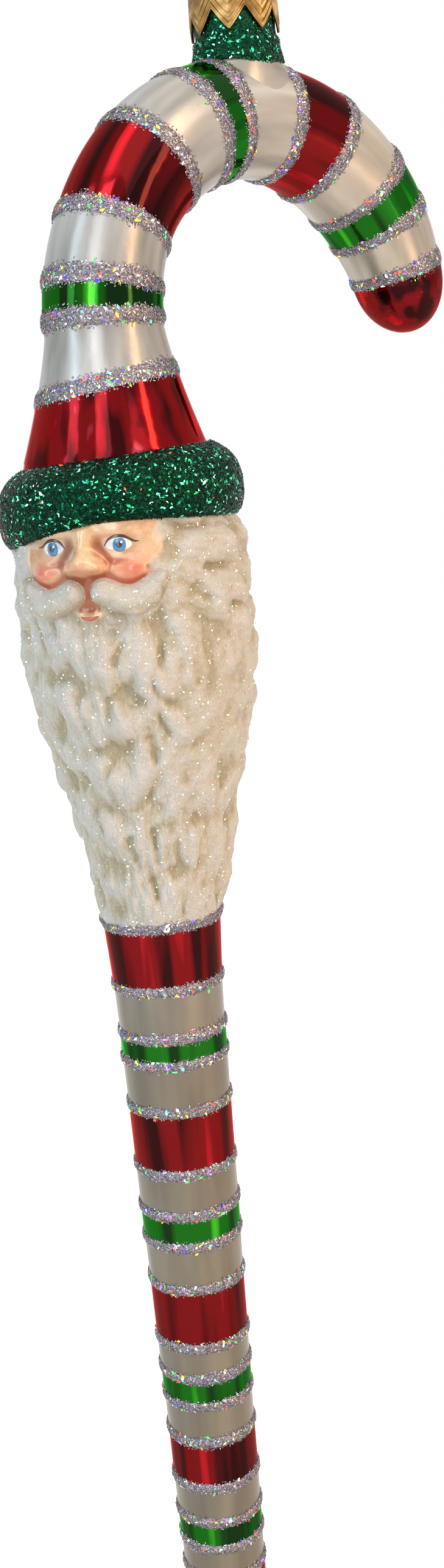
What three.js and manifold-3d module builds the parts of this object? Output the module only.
// Santa glass ornament in the form of a candy cane: a blown glass cane with a bearded head below its hook,
// banded in red, white and green lacquer with raised lines of glitter, and hung by a crown cap and wire loop.
// Millimetres, +Z up. The origin is the inside of the wire loop at its top, where a tree hook holds it.
// The shaft and hook lie in the XZ plane, and the hook turns over towards +X.

import * as THREE from 'three';
import { mergeVertices } from 'three/addons/utils/BufferGeometryUtils.js';
import Module from 'manifold-3d';

const wasm = await Module();
wasm.setup();

// Blown cane, bare glass
const tubeRadius = 7.5;
const wall = 1.0;
const hookRadius = 27.5;       // centre line, from the shaft up to the top of the hook
const overhangRadius = 30;     // centre line, from the top of the hook out to its tip
const overhangLength = 47.0;   // along the centre line, from the top of the hook to the tip's very end
const hookTaperLength = 15;    // stretch before the tip's dome over which the hook gets thinner
const hookTipRadius = 6.5;
const hookDomeLength = 9.5;
const shaftLength = 199;       // from the foot of the hook to the tip's very end
const shaftTipRadius = 5.6;
const shaftDomeLength = 7.5;
const shaftShoulder = 0.45;    // how much wider the shaft is just below the beard
const shaftShoulderLength = 16;
const domeFullness = 2.3;      // 2 is an ellipse, more is fuller

// Head, measured down from the foot of the hook
const hatLength = 17;
const hatFootRadius = 12.4;
const hatSpread = 1.3;         // 1 is a straight cone, more is a wider flare at its foot
const brimHeight = 9;
const brimGlassRadius = 15.4;
const headRadius = 15.1;
const headHeight = 19;         // from the brim to where the beard starts to draw in
const beardLength = 37;
const beardFootRadius = 8.25;
const beardTaper = 0.86;       // lower is a beard that draws in sooner
const faceTurn = 33;           // degrees from -X towards -Y
const lockDepth = 0.8;         // from the grooves to the tops of the hair and beard locks
const hairFullness = 1.35;     // how much further hair and beard stand out at their fullest side
const hairFullSide = 144;      // degrees

// Waves that add up to the moulded locks: turns round the head, radians per mm down it, phase, weight
const beardWaves = [
  [9, 0.30, 0.4, 1.0], [-13, 0.22, 2.1, 0.9], [16, 0.36, 4.0, 0.7], [7, -0.42, 1.3, 0.8], [-5, 0.12, 3.3, 0.6],
];
const templeWaves = [[3, 0.62, 0.2, 1.0], [-4, 0.50, 1.9, 0.7], [6, 0.78, 3.9, 0.6], [-9, 0.30, 0.6, 0.4]];

// Neck, cap and hanger
const neckHeight = 17.3;       // from the hook's centre line to the rim
const neckRadius = 5.3;
const neckFlare = 0.8;         // how much wider its foot is
const neckFlareHeight = 3;     // above the top of the hook's glass
const boreRadius = 4.4;
const capSheet = 0.3;
const capHeight = 4.0;         // from the top down to the notches between the petals
const petalLength = 3.0;
const petalCount = 8;
const capTurn = 19.5;          // degrees, how the petals sit round the neck
const capShoulder = 0.8;
const wireDiameter = 1.0;
const loopInnerRadius = 4.0;
const slotSpacing = 3.9;       // between the two legs where they pass through the cap
const legLength = 13;          // below the cap's top
const hangerTravel = 2.0;      // how far the loop can be pushed down into the cap

// Layers and clearances
const coatThickness = 0.25;    // lacquer
const coatGap = 0.3;           // modelling gap between two layers
const glitterHeight = 0.55;    // raised glitter lines
const glitterWidth = 1.95;
const shaftGlitterWidth = 1.45;
const glitterShoulder = 0.45;
const neckGlitterThickness = 0.45;
const neckGlitterUnderCap = 0.15;
const brimGlitterThickness = 1.3;  // at its thickest
const brimGlitterSink = 0.9;   // how far its upper edge dips and rises round the hat
const fitGap = 0.3;            // cap round the neck, legs in the bore, piece against piece
const wireGap = 0.25;          // wire in its slots
const hatRingTilt = 9;         // degrees, the glitter line round the hat lies askew
const lowSide = -36;           // degrees, the side where that line and the brim's glitter are lowest

// The brim's glitter from its upper to its lower edge: place, and thickness as a share of the full one
const brimProfile = [[0, 0.35], [0.07, 0.7], [0.18, 1], [0.35, 1], [0.6, 0.7], [0.85, 0.55], [1, 0.22]];

// Bands with their lengths along the cane. Each row is spread to fill its stretch between glitter lines.
const tipSideLineInset = 1.2;  // how far the line beside the neck runs into its foot, towards the hook's tip
const hatSideLineInset = 0.1;  // and towards the hat
const hatRingDrop = 7.5;       // from the foot of the hook down to the hat's glitter line
const shaftTipBand = 13.9;     // length of the red band at the shaft's tip
const tipSideBands = [['white', 7.5], ['green', 6.6], ['white', 9.4], ['red', 9.5]];
const hatSideBands = [
  ['green', 4.1], ['white', 9.8], ['red', 11.3], ['white', 7.5], ['green', 4.6], ['white', 8.2],
];
const shaftBands = [
  ['red', 9.4], ['white', 7.1], ['green', 4.0], ['white', 7.1], ['red', 9.5], ['white', 6.5],
  ['green', 4.8], ['white', 6.8], ['red', 9.4], ['white', 5.0], ['green', 4.5], ['white', 5.9],
  ['red', 7.8], ['white', 5.8], ['green', 4.4], ['white', 5.1],
];

// Heights and lengths that follow from the sizes above
const wireRadius = wireDiameter / 2;
const loopRadius = loopInnerRadius + wireRadius;
const loopCentreZ = wireRadius - loopRadius;
const slotX = slotSpacing / 2;
const shoulderZ = loopCentreZ - Math.sqrt(loopRadius ** 2 - slotX ** 2);
const capTopZ = shoulderZ - hangerTravel - fitGap;
const neckRimZ = capTopZ - capSheet - fitGap;
const hookTopZ = neckRimZ - neckHeight;
const hookFootZ = hookTopZ - hookRadius;
const quarterLength = hookRadius * Math.PI / 2;
const hookEnd = quarterLength + overhangLength;
const hookDomeStart = hookEnd - hookDomeLength;
const shaftDomeStart = -shaftLength + shaftDomeLength;
const brimTop = -hatLength;
const brimFoot = brimTop - brimHeight;
const beardStart = brimFoot - headHeight;
const beardFoot = beardStart - beardLength;
const shoulderFoot = beardFoot - shaftShoulderLength;
const neckFoot = neckRadius + neckFlare + neckGlitterThickness + neckGlitterUnderCap;
const tipSideLine = quarterLength
  + (neckFoot - tipSideLineInset) * overhangRadius / (overhangRadius + tubeRadius + coatGap);
const hatSideLine = quarterLength
  - (neckFoot - hatSideLineInset) * hookRadius / (hookRadius + tubeRadius + coatGap);
const degree = Math.PI / 180;
const boreLegX = boreRadius - wireRadius - fitGap;
const flareFootZ = hookTopZ + tubeRadius * 0.7;
const flareTopZ = hookTopZ + tubeRadius + neckFlareHeight;

// Facets
const skinSides = 16;          // round the bands and lines
const neckSides = 24;
const bandStep = 3.8;          // along a band, at most
const hookStep = 7.5 * degree;

const smooth = (t) => t * t * (3 - 2 * t);
const clamp = (t) => Math.min(1, Math.max(0, t));
const mix = (a, b, t) => a + (b - a) * t;

// The glass radius at a distance along the cane's centre line, raised by a coat.
// Distance 0 is the foot of the hook, positive runs up round the hook and negative down the shaft.
function caneRadius(s, raise = 0) {
  const dome = (radius, length, past) =>
    (radius + raise) * Math.sqrt(Math.max(0, 1 - clamp(past / (length + raise)) ** domeFullness));
  if (s > hookDomeStart) return dome(hookTipRadius, hookDomeLength, s - hookDomeStart);
  if (s < shaftDomeStart) return dome(shaftTipRadius, shaftDomeLength, shaftDomeStart - s);
  if (s >= 0) {
    const t = clamp((s - hookDomeStart + hookTaperLength) / hookTaperLength);
    return mix(tubeRadius, hookTipRadius, t ** 1.5) + raise;
  }
  if (s > brimTop) return mix(tubeRadius, hatFootRadius, (s / brimTop) ** hatSpread) + raise;
  if (s > brimFoot) {
    const t = (brimTop - s) / brimHeight;
    const round = Math.sin(Math.PI * t) * (brimGlassRadius - mix(hatFootRadius, headRadius, 0.5));
    return mix(hatFootRadius, headRadius, t) + round + raise;
  }
  if (s > beardStart) return headRadius + raise;
  if (s > beardFoot) {
    const t = smooth(((beardStart - s) / beardLength) ** beardTaper);
    return mix(headRadius, beardFootRadius, t) + raise;
  }
  const shoulder = shaftShoulder * clamp(1 - (beardFoot - s) / shaftShoulderLength) ** 1.5;
  return mix(tubeRadius, shaftTipRadius, (beardFoot - s) / (beardFoot - shaftDomeStart)) + shoulder + raise;
}

// A round swelling of the face, with its centre and spread across and down, in millimetres
function swelling(x, z, atX, atZ, spreadX, spreadZ, height) {
  return height * Math.exp(-(((x - atX) / spreadX) ** 2) - ((z - atZ) / spreadZ) ** 2);
}

// Rounded lumps between soft winding grooves: near 0 in a groove, near 1 on a lump
function locks(turn, z, waves) {
  const total = waves.reduce((sum, [turns, down, phase, weight]) =>
    sum + weight * Math.sin(turns * turn + down * z + phase), 0);
  return Math.tanh(1.15 * Math.sqrt(total ** 2 + 0.1));
}

// Face, moustache, hair and beard as a relief on the head, from the brim to the beard's foot
function headRelief(s, angle) {
  if (s > brimFoot || s < beardFoot) return 0;
  const turn = Math.atan2(Math.sin(angle - faceTurn * degree), Math.cos(angle - faceTurn * degree));
  const x = turn * headRadius;
  const side = Math.abs(x);
  const z = s - brimFoot;
  const belowBrim = clamp(-z / 3);
  const fullness = hairFullness * Math.max(0, Math.cos(angle - hairFullSide * degree))
    * smooth(clamp((s - beardFoot) / 7)) * belowBrim;
  const face = clamp((10.4 - side) / 2) * clamp((z + 12.3) / 1.5);
  const temple = smooth(clamp((side - 9.4) / 3.1)) * smooth(clamp((z + 19) / 5));
  const hair = mix(locks(turn, z, beardWaves), locks(turn, z, templeWaves), temple);
  const features =
    swelling(side, z, 4.7, -2.4, 2.2, 1.4, -0.4) +   // eye socket
    swelling(x, z, 0, -1.6, 1.3, 2.4, 0.9) +         // bridge of the nose
    swelling(x, z, 0, -4.8, 2.0, 1.7, 2.3) +         // tip of the nose
    swelling(side, z, 6.2, -5.5, 2.3, 1.6, 0.9) +    // cheek
    swelling(side, z, 3.2, -9.2, 2.4, 1.8, 1.5) +    // moustache
    swelling(side, z, 7.4, -9.0, 2.3, 1.9, 1.5) +
    swelling(x, z, 0, -17.0, 5.0, 3.5, 0.5);         // beard below the mouth
  const fade = belowBrim * clamp((s - beardFoot) / 4);
  return fade * (features + lockDepth * (hair - 0.7) * (1 - face)) + fullness;
}

// Centre and outward direction of the cane at a distance along it
function caneFrame(s) {
  if (s <= 0) {
    return { centre: new THREE.Vector3(-hookRadius, 0, hookFootZ + s), out: new THREE.Vector3(-1, 0, 0) };
  }
  if (s <= quarterLength) {
    const out = new THREE.Vector3(-Math.cos(s / hookRadius), 0, Math.sin(s / hookRadius));
    return { centre: out.clone().multiplyScalar(hookRadius).add(new THREE.Vector3(0, 0, hookFootZ)), out };
  }
  const a = (s - quarterLength) / overhangRadius;
  const out = new THREE.Vector3(Math.sin(a), 0, Math.cos(a));
  const pivot = new THREE.Vector3(0, 0, hookTopZ - overhangRadius);
  return { centre: out.clone().multiplyScalar(overhangRadius).add(pivot), out };
}

// A ring of points round the cane. The distance may be a number or a function of the angle.
function caneRing(distance, raise, angles, relief = false) {
  return angles.map((angle) => {
    const s = typeof distance === 'function' ? distance(angle) : distance;
    const { centre, out } = caneFrame(s);
    const radius = caneRadius(s, raise) + (relief ? headRelief(s, angle) : 0);
    const side = new THREE.Vector3(0, -1, 0).multiplyScalar(Math.sin(angle) * radius);
    return centre.add(out.multiplyScalar(Math.cos(angle) * radius)).add(side);
  });
}

// The closed point on the centre line where a dome ends
function canePole(s) {
  return [caneFrame(s).centre];
}

// Distances from one place to another, close enough for the hook's bend
function steps(from, to, count = Math.ceil(Math.abs(to - from) / (hookRadius * hookStep))) {
  return Array.from({ length: count + 1 }, (_, i) => mix(from, to, i / count));
}

// Distances over a dome, from its foot to just short of its end, closer together near the end
function domeSteps(foot, end, count = 4) {
  return Array.from({ length: count }, (_, i) => mix(foot, end, Math.sin(Math.PI / 2 * (i + 1) / (count + 0.6))));
}

const evenAngles = (count) => Array.from({ length: count }, (_, i) => i / count * 2 * Math.PI);

// A closed mesh through rings of points with equal counts. A ring of one point is a pole. Where round
// is true, the last ring joins the first. The faces are turned to point outwards.
function loft(rings, round = false) {
  const points = [];
  const starts = rings.map((ring) => {
    points.push(...ring);
    return points.length - ring.length;
  });
  const index = [];
  const joins = round ? rings.length : rings.length - 1;
  for (let r = 0; r < joins; r++) {
    const next = (r + 1) % rings.length;
    const [a, b] = [rings[r].length, rings[next].length];
    for (let i = 0; i < Math.max(a, b); i++) {
      const j = (i + 1) % Math.max(a, b);
      const [p, q] = [starts[r] + (a > 1 ? i : 0), starts[r] + (a > 1 ? j : 0)];
      const [u, v] = [starts[next] + (b > 1 ? i : 0), starts[next] + (b > 1 ? j : 0)];
      if (a > 1) index.push(p, q, u);
      if (b > 1) index.push(q, v, u);
    }
  }
  let volume = 0;
  for (let t = 0; t < index.length; t += 3) {
    const [p, q, u] = [points[index[t]], points[index[t + 1]], points[index[t + 2]]];
    volume += p.dot(q.clone().cross(u));
  }
  if (volume < 0) index.reverse();
  const geometry = new THREE.BufferGeometry();
  geometry.setAttribute('position', new THREE.Float32BufferAttribute(points.flatMap((p) => p.toArray()), 3));
  geometry.setIndex(index);
  return geometry;
}

// A closed three.js mesh as a solid that can be joined and cut
function toSolid(geometry) {
  const bare = geometry.clone();
  bare.deleteAttribute('normal');
  bare.deleteAttribute('uv');
  const merged = mergeVertices(bare, 1e-4);
  return new wasm.Manifold(new wasm.Mesh({
    numProp: 3,
    vertProperties: new Float32Array(merged.attributes.position.array),
    triVerts: new Uint32Array(merged.index.array),
  }));
}

// The solid back as a three.js mesh
function toGeometry(solid) {
  const { vertProperties, triVerts, numProp } = solid.getMesh();
  const positions = [];
  for (let i = 0; i < vertProperties.length; i += numProp) {
    positions.push(vertProperties[i], vertProperties[i + 1], vertProperties[i + 2]);
  }
  const geometry = new THREE.BufferGeometry();
  geometry.setAttribute('position', new THREE.Float32BufferAttribute(positions, 3));
  geometry.setIndex(Array.from(triVerts));
  return geometry;
}

// A turned shape about the neck's axis, from profile points of radius and height
function turned(profile, sides) {
  const geometry = new THREE.LatheGeometry(profile.map(([r, z]) => new THREE.Vector2(r, z)), sides);
  return geometry.rotateX(Math.PI / 2);
}

// Angles round the cane for the glass: close together over the face, wider apart behind
function glassAngles() {
  const faceHalf = 60;
  const close = Array.from({ length: 24 }, (_, i) => -faceHalf + i * faceHalf / 12);
  const wide = Array.from({ length: 16 }, (_, i) => faceHalf + i * (360 - 2 * faceHalf) / 16);
  return [...close, ...wide].map((a) => (a + faceTurn) * degree);
}

// The neck's glass, wider at its foot where it grows out of the hook
function neckSolid() {
  return toSolid(turned([
    [0, hookTopZ], [neckRadius + neckFlare, hookTopZ], [neckRadius + neckFlare, flareFootZ],
    [neckRadius + neckFlare * 0.3, mix(flareFootZ, flareTopZ, 0.6)], [neckRadius, flareTopZ],
    [neckRadius, neckRimZ], [0, neckRimZ],
  ], neckSides));
}

function glassBody() {
  const angles = glassAngles();
  const distances = [
    ...steps(hookDomeStart, 0), ...steps(0, brimTop, 5).slice(1), ...steps(brimTop, brimFoot, 4).slice(1),
    ...steps(brimFoot, beardStart, 16).slice(1), ...steps(beardStart, beardFoot, 14).slice(1),
    ...steps(beardFoot, shoulderFoot, 4).slice(1), shaftDomeStart,
  ];
  const outer = toSolid(loft([
    canePole(hookEnd),
    ...domeSteps(hookDomeStart, hookEnd).reverse().map((s) => caneRing(s, 0, angles)),
    ...distances.map((s) => caneRing(s, 0, angles, true)),
    ...domeSteps(shaftDomeStart, -shaftLength).map((s) => caneRing(s, 0, angles)),
    canePole(-shaftLength),
  ]));
  const coarse = evenAngles(skinSides);
  const innerDistances = [
    ...steps(hookDomeStart, 0), ...steps(0, brimTop, 3).slice(1), ...steps(brimTop, brimFoot, 2).slice(1),
    beardStart, ...steps(beardStart, beardFoot, 5).slice(1), shoulderFoot, shaftDomeStart,
  ];
  const inner = toSolid(loft([
    canePole(hookEnd - wall),
    ...domeSteps(hookDomeStart, hookEnd - wall, 3).reverse().map((s) => caneRing(s, -wall, coarse)),
    ...innerDistances.map((s) => caneRing(s, -wall - innerRelief(s), coarse)),
    ...domeSteps(shaftDomeStart, -shaftLength + wall, 3).map((s) => caneRing(s, -wall, coarse)),
    canePole(-shaftLength + wall),
  ]));
  const bore = toSolid(turned([
    [0, hookTopZ], [boreRadius, hookTopZ], [boreRadius, neckRimZ + wall], [0, neckRimZ + wall],
  ], neckSides));
  return toGeometry(outer.add(neckSolid()).subtract(inner).subtract(bore));
}

// Under the locks and the eye sockets the inner wall stays clear of the deepest dip
function innerRelief(s) {
  return s < brimFoot && s > beardFoot ? 0.7 * lockDepth + 0.1 : 0;
}

// Height of the hook's outer surface above its centre line, beside the neck
function hookSurface(x, y, raise) {
  const tube = tubeRadius + raise;
  const reach = hookRadius + Math.sqrt(Math.max(0, tube ** 2 - y ** 2));
  return hookTopZ - hookRadius + Math.sqrt(reach ** 2 - x ** 2);
}

// A ring of points about the neck's axis, at one height or resting on the hook
function neckRing(radius, height, angles) {
  return angles.map((a) => {
    const [x, y] = [radius * Math.cos(a), radius * Math.sin(a)];
    return new THREE.Vector3(x, y, height ?? hookSurface(x, y, coatGap));
  });
}

// Glitter round the neck: full below the petals, thin under them
function neckGlitter() {
  const angles = evenAngles(neckSides);
  const inner = neckRadius + coatGap;
  const flared = inner + neckFlare;
  const outer = capInnerRadius() - fitGap;
  const full = inner + neckGlitterThickness + neckGlitterUnderCap;
  const petalFoot = capTopZ - capHeight - petalLength;
  return loft([
    neckRing(flared, null, angles), neckRing(Math.max(full, flared + neckGlitterUnderCap), null, angles),
    neckRing(full, petalFoot - fitGap, angles), neckRing(outer, petalFoot - fitGap, angles),
    neckRing(outer, neckRimZ - 2, angles), neckRing(inner, neckRimZ - 2, angles),
    neckRing(inner, flareTopZ, angles),
  ], true);
}

// Pieces on the hook are cut back where the neck stands
function clearOfNeck(geometry) {
  const reach = neckFoot + 2 * coatGap;
  const post = toSolid(turned([[0, hookTopZ], [reach, hookTopZ], [reach, neckRimZ], [0, neckRimZ]], neckSides));
  return toGeometry(toSolid(geometry).subtract(post));
}

// A lacquer band round the cane between two distances
function lacquerBand(from, to) {
  const angles = evenAngles(skinSides);
  const straight = from < shoulderFoot;
  const distances = straight ? [from, to] : steps(from, to, Math.ceil(Math.abs(to - from) / bandStep));
  return loft([
    ...distances.map((s) => caneRing(s, coatGap + coatThickness, angles)),
    ...distances.toReversed().map((s) => caneRing(s, coatGap, angles)),
  ], true);
}

// The red hat, from the askew glitter line down to the brim's glitter
function hatLacquer(upperEdge, lowerEdge) {
  const angles = evenAngles(skinSides);
  const edge = [0, 0.35, 0.7, 1].map((t) => (angle) => mix(upperEdge(angle), lowerEdge(angle), t));
  return loft([
    ...edge.map((s) => caneRing(s, coatGap + coatThickness, angles)),
    ...edge.toReversed().map((s) => caneRing(s, coatGap, angles)),
  ], true);
}

// A lacquer cup over a rounded tip. The end is a sign and the tip's distance along the cane.
function tipLacquer(from, domeFoot, end) {
  const angles = evenAngles(skinSides);
  const away = Math.sign(end);
  const shell = (raise) => [
    ...steps(from, domeFoot, 1).map((s) => caneRing(s, raise, angles)),
    ...domeSteps(domeFoot, end + away * raise).map((s) => caneRing(s, raise, angles)),
  ];
  return loft([
    canePole(end + away * (coatGap + coatThickness)),
    ...shell(coatGap + coatThickness).reverse(),
    ...shell(coatGap),
    canePole(end + away * coatGap),
  ]);
}

// A raised line of glitter round the cane, its middle at a distance or a function of the angle
function glitterRing(middle, width) {
  const angles = evenAngles(skinSides);
  const place = typeof middle === 'function' ? middle : () => middle;
  const at = (offset) => (angle) => place(angle) + offset;
  const half = width / 2;
  return loft([
    caneRing(at(-half), coatGap, angles),
    caneRing(at(-half + glitterShoulder), coatGap + glitterHeight, angles),
    caneRing(at(half - glitterShoulder), coatGap + glitterHeight, angles),
    caneRing(at(half), coatGap, angles),
  ], true);
}

// Where the brim's glitter starts, a little askew
function brimEdge(angle) {
  return brimTop - brimGlitterSink * Math.cos(angle - lowSide * degree);
}

// The thick glitter band of the brim, plump above its middle
function brimGlitter() {
  const angles = evenAngles(32);
  const place = (share) => (angle) => mix(brimEdge(angle), brimFoot, share);
  const outer = ([share, thickness]) =>
    caneRing(place(share), coatGap + brimGlitterThickness * thickness, angles);
  return loft([
    ...brimProfile.map(outer),
    ...brimProfile.toReversed().map(([share]) => caneRing(place(share), coatGap, angles)),
  ], true);
}

function capInnerRadius() {
  return neckRadius + coatGap + neckGlitterUnderCap + fitGap;
}

// The pressed cap: a flat top with two slots, a rounded shoulder and a skirt cut into petals
function crownCap() {
  const sidesPerPetal = 4;
  const angles = evenAngles(petalCount * sidesPerPetal).map((a) => a + capTurn * degree);
  const inner = capInnerRadius();
  const outer = inner + capSheet;
  const ring = (radius, height) => angles.map((a, i) => {
    const z = typeof height === 'function' ? height(i) : height;
    return new THREE.Vector3(radius * Math.cos(a), radius * Math.sin(a), z);
  });
  const edge = (i) => {
    const phase = (i % sidesPerPetal) / sidesPerPetal;
    return capTopZ - capHeight - petalLength * (1 - Math.abs(2 * phase - 1));
  };
  const shell = loft([
    [new THREE.Vector3(0, 0, capTopZ)],
    ring(outer - capShoulder, capTopZ), ring(outer, capTopZ - capShoulder), ring(outer, edge),
    ring(inner, edge), ring(inner, capTopZ - capShoulder - capSheet),
    ring(inner - capShoulder, capTopZ - capSheet), [new THREE.Vector3(0, 0, capTopZ - capSheet)],
  ]);
  const slotSize = wireDiameter + 2 * wireGap;
  let cap = toSolid(shell);
  for (const x of [-slotX, slotX]) {
    const slot = new THREE.BoxGeometry(slotSize, slotSize, 4 * capSheet).translate(x, 0, capTopZ);
    cap = cap.subtract(toSolid(slot));
  }
  return toGeometry(cap);
}

// The spring wire: two legs spread in the neck, straight through the cap, and a round loop above it
function hangerWire() {
  const point = (x, z) => new THREE.Vector3(x, 0, z);
  const open = Math.asin(slotX / loopRadius);
  const arc = Array.from({ length: 15 }, (_, i) => {
    const a = mix(Math.PI + open, 3 * Math.PI - open, i / 14);
    return point(loopRadius * Math.sin(a), loopCentreZ + loopRadius * Math.cos(a));
  });
  const leg = [
    point(boreLegX, capTopZ - legLength), point(mix(slotX, boreLegX, 0.75), capTopZ - legLength * 0.6),
    point(slotX, capTopZ - capSheet - 1.2), point(slotX, capTopZ - capSheet),
    point(slotX, capTopZ + hangerTravel * 0.6),
  ];
  const mirrored = leg.map((p) => point(-p.x, p.z));
  const path = new THREE.CatmullRomCurve3([...mirrored, ...arc, ...leg.toReversed()]);
  const section = new THREE.Shape();
  section.absarc(0, 0, wireRadius, 0, 2 * Math.PI);
  return new THREE.ExtrudeGeometry(section, { extrudePath: path, steps: 64, curveSegments: 4, bevelEnabled: false });
}

const lacquerRed = { color: 0x8c0e18, roughness: 0.12, metalness: 0.5 };
const lacquerGreen = { color: 0x146e24, roughness: 0.12, metalness: 0.5 };
const satinWhite = { color: 0xd8d0c2, roughness: 0.4, metalness: 0.1 };
const silverGlitter = { color: 0xa49ca2, roughness: 0.5, metalness: 0.4 };
const greenGlitter = { color: 0x0c5a3c, roughness: 0.5, metalness: 0.4 };
const goldSheet = { color: 0xc8923f, roughness: 0.3, metalness: 1.0 };
const goldWire = { color: 0xc9a35c, roughness: 0.25, metalness: 1.0 };

const ornament = new THREE.Group();

function add(name, geometry, finish) {
  const mesh = new THREE.Mesh(geometry, new THREE.MeshStandardMaterial(finish));
  mesh.name = name;
  ornament.add(mesh);
}

add('hanger_wire', hangerWire(), goldWire);
add('crown_cap', crownCap(), goldSheet);
add('glass_body', glassBody(), satinWhite);
add('neck_glitter', neckGlitter(), greenGlitter);
add('brim_glitter', brimGlitter(), greenGlitter);

// Glitter lines and lacquer bands, numbered from the hook's tip down
const counts = { ring: 0, red: 0, green: 0 };
const nearNeck = (s) => Math.abs(s - quarterLength) < neckFoot + glitterWidth;

function addRing(middle, width) {
  counts.ring += 1;
  const ring = glitterRing(middle, width);
  const cut = typeof middle === 'number' && nearNeck(middle);
  add(`glitter_ring_${counts.ring}`, cut ? clearOfNeck(ring) : ring, silverGlitter);
}

function addBand(colour, geometry) {
  counts[colour] += 1;
  add(`${colour}_band_${counts[colour]}`, geometry, colour === 'red' ? lacquerRed : lacquerGreen);
}

// Bands down a stretch of the cane that starts at a glitter line, each followed by a line of its own
function addStripes(bands, start, end, width, lastLine = end) {
  const total = bands.reduce((sum, [, length]) => sum + length, 0);
  const inset = width / 2 + coatGap;
  let place = start;
  bands.forEach(([colour, length], i) => {
    const next = place - length * (start - end) / total;
    if (colour !== 'white') {
      const band = lacquerBand(place - inset, next + inset);
      addBand(colour, nearNeck(place) || nearNeck(next) ? clearOfNeck(band) : band);
    }
    addRing(i === bands.length - 1 ? lastLine : next, width);
    place = next;
  });
}

const hatRing = (angle) => {
  const lean = caneRadius(-hatRingDrop) * Math.tan(hatRingTilt * degree);
  return -hatRingDrop - lean * Math.cos(angle - lowSide * degree);
};
const hatEdge = (angle) => hatRing(angle) - glitterWidth / 2 - coatGap;
const shaftTipLine = shaftTipBand - shaftLength;

addRing(hookDomeStart, glitterWidth);
addBand('red', tipLacquer(hookDomeStart + glitterWidth / 2 + coatGap, hookDomeStart + glitterWidth, hookEnd));
addStripes(tipSideBands, hookDomeStart, tipSideLine, glitterWidth);
addRing(hatSideLine, glitterWidth);
addStripes(hatSideBands, hatSideLine, -hatRingDrop, glitterWidth, hatRing);
addBand('red', hatLacquer(hatEdge, (angle) => brimEdge(angle) + coatGap));
addRing(beardFoot, shaftGlitterWidth);
addStripes(shaftBands, beardFoot, shaftTipLine, shaftGlitterWidth);
addBand('red', tipLacquer(shaftTipLine - shaftGlitterWidth / 2 - coatGap, shaftDomeStart, -shaftLength));

export default ornament;
